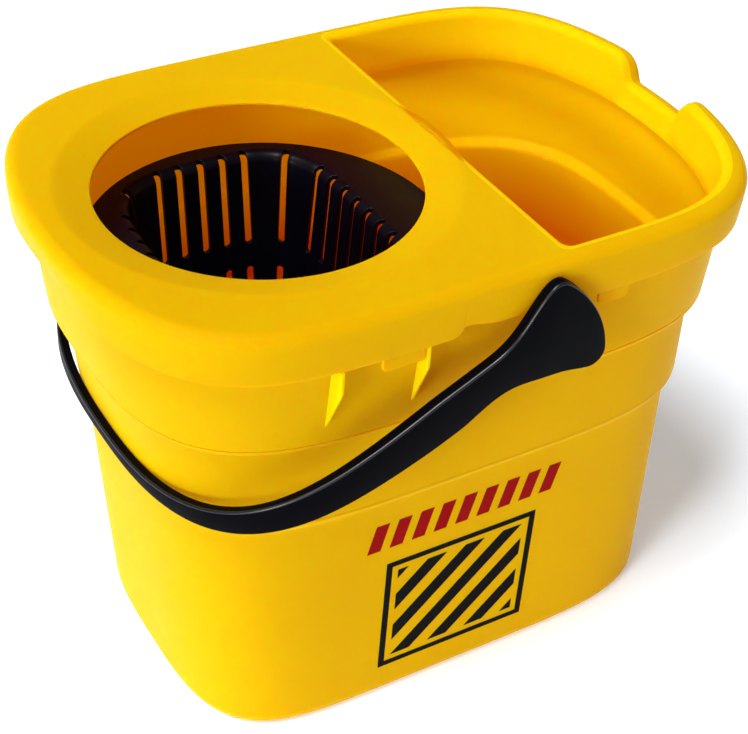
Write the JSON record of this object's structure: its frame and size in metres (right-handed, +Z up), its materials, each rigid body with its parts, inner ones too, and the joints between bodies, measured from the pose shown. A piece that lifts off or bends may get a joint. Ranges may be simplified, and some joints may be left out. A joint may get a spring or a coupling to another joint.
{
  "type": "spin mop bucket",
  "caption": "Stepped plastic mop bucket with push-fit cover, spinning wringing basket, pouring notch and swinging carry handle.",
  "frame": {"origin": "middle of the base, on the floor", "axes": "+X towards the pouring end, +Y across the bucket, +Z up; the handle's arms run along X"},
  "size_m": [0.3994, 0.2926, 0.3176],
  "materials": {
    "yellow_plastic": "satin moulded polypropylene",
    "cover_plastic": "satin moulded polypropylene",
    "black_plastic": "satin",
    "basket_plastic": "satin",
    "grey_nylon": "matt",
    "steel": "turned"
  },
  "bodies": {
    "bucket": {"bucket_body": "yellow_plastic", "top_cover": "cover_plastic", "pedestal": "grey_nylon", "pedestal_screw_1": "steel", "pedestal_screw_2": "steel", "pedestal_screw_3": "steel", "pedestal_screw_4": "steel", "spindle": "steel", "spindle_washer": "steel", "spindle_nut": "steel", "spindle_circlip": "steel", "bearing_spacer": "steel", "thrust_washer": "steel"},
    "handle": {"carry_handle": "black_plastic", "handle_pin_front": "grey_nylon", "handle_pin_rear": "grey_nylon"},
    "basket": {"spin_basket": "basket_plastic", "basket_hub": "grey_nylon", "hub_cap": "basket_plastic", "hub_screw_1": "steel", "hub_screw_2": "steel", "hub_screw_3": "steel", "hub_screw_4": "steel", "lower_bearing": "steel", "upper_bearing": "steel"}
  },
  "joints": [
    {"name": "handle_swing", "type": "hinge", "parent": "bucket", "child": "handle", "pos_m": [0.0175, 0, 0.3025], "axis": [0, 1, 0], "range_deg": [0, 252]},
    {"name": "basket_spin", "type": "hinge", "parent": "bucket", "child": "basket", "pos_m": [-0.069, 0, 0.16], "axis": [0, 0, 1], "continuous": true}
  ]
}
